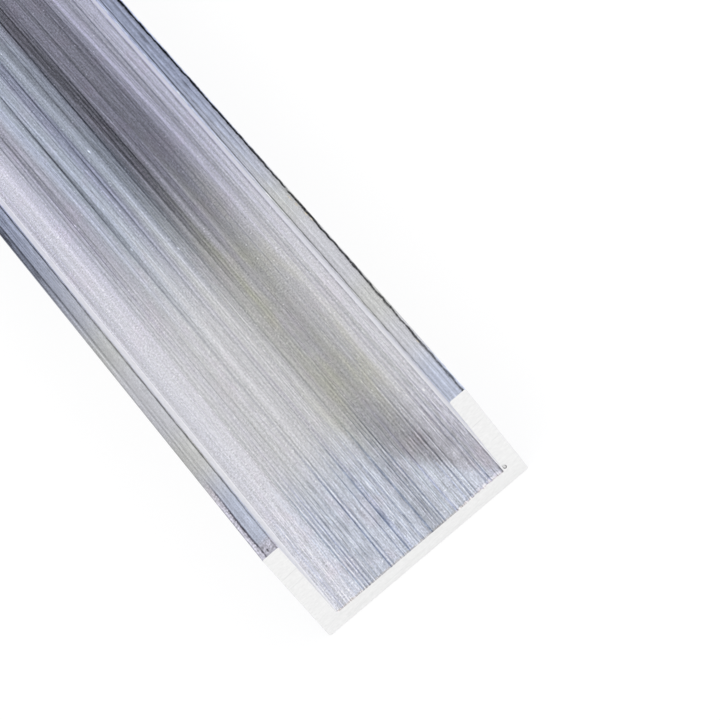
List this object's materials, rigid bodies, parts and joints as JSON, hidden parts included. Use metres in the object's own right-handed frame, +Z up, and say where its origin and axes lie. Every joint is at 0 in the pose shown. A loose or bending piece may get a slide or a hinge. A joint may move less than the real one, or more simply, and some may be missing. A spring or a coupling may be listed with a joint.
{
  "type": "aluminium extrusion profile",
  "caption": "Straight bar of plain aluminium U channel in mill finish, with sawn ends and a groove open along its top.",
  "frame": {"origin": "on the back of the web, half way along the bar and across it; the bar lies on its web there", "axes": "+X along the bar, +Y across it, +Z up from the web's back towards the flange tips and the open side of the groove"},
  "size_m": [1, 0.025, 0.015],
  "materials": {
    "mill_aluminium": "mill finish, with die lines along the bar and sawn ends"
  },
  "bodies": {
    "root": {"u_channel": "mill_aluminium"}
  },
  "joints": []
}
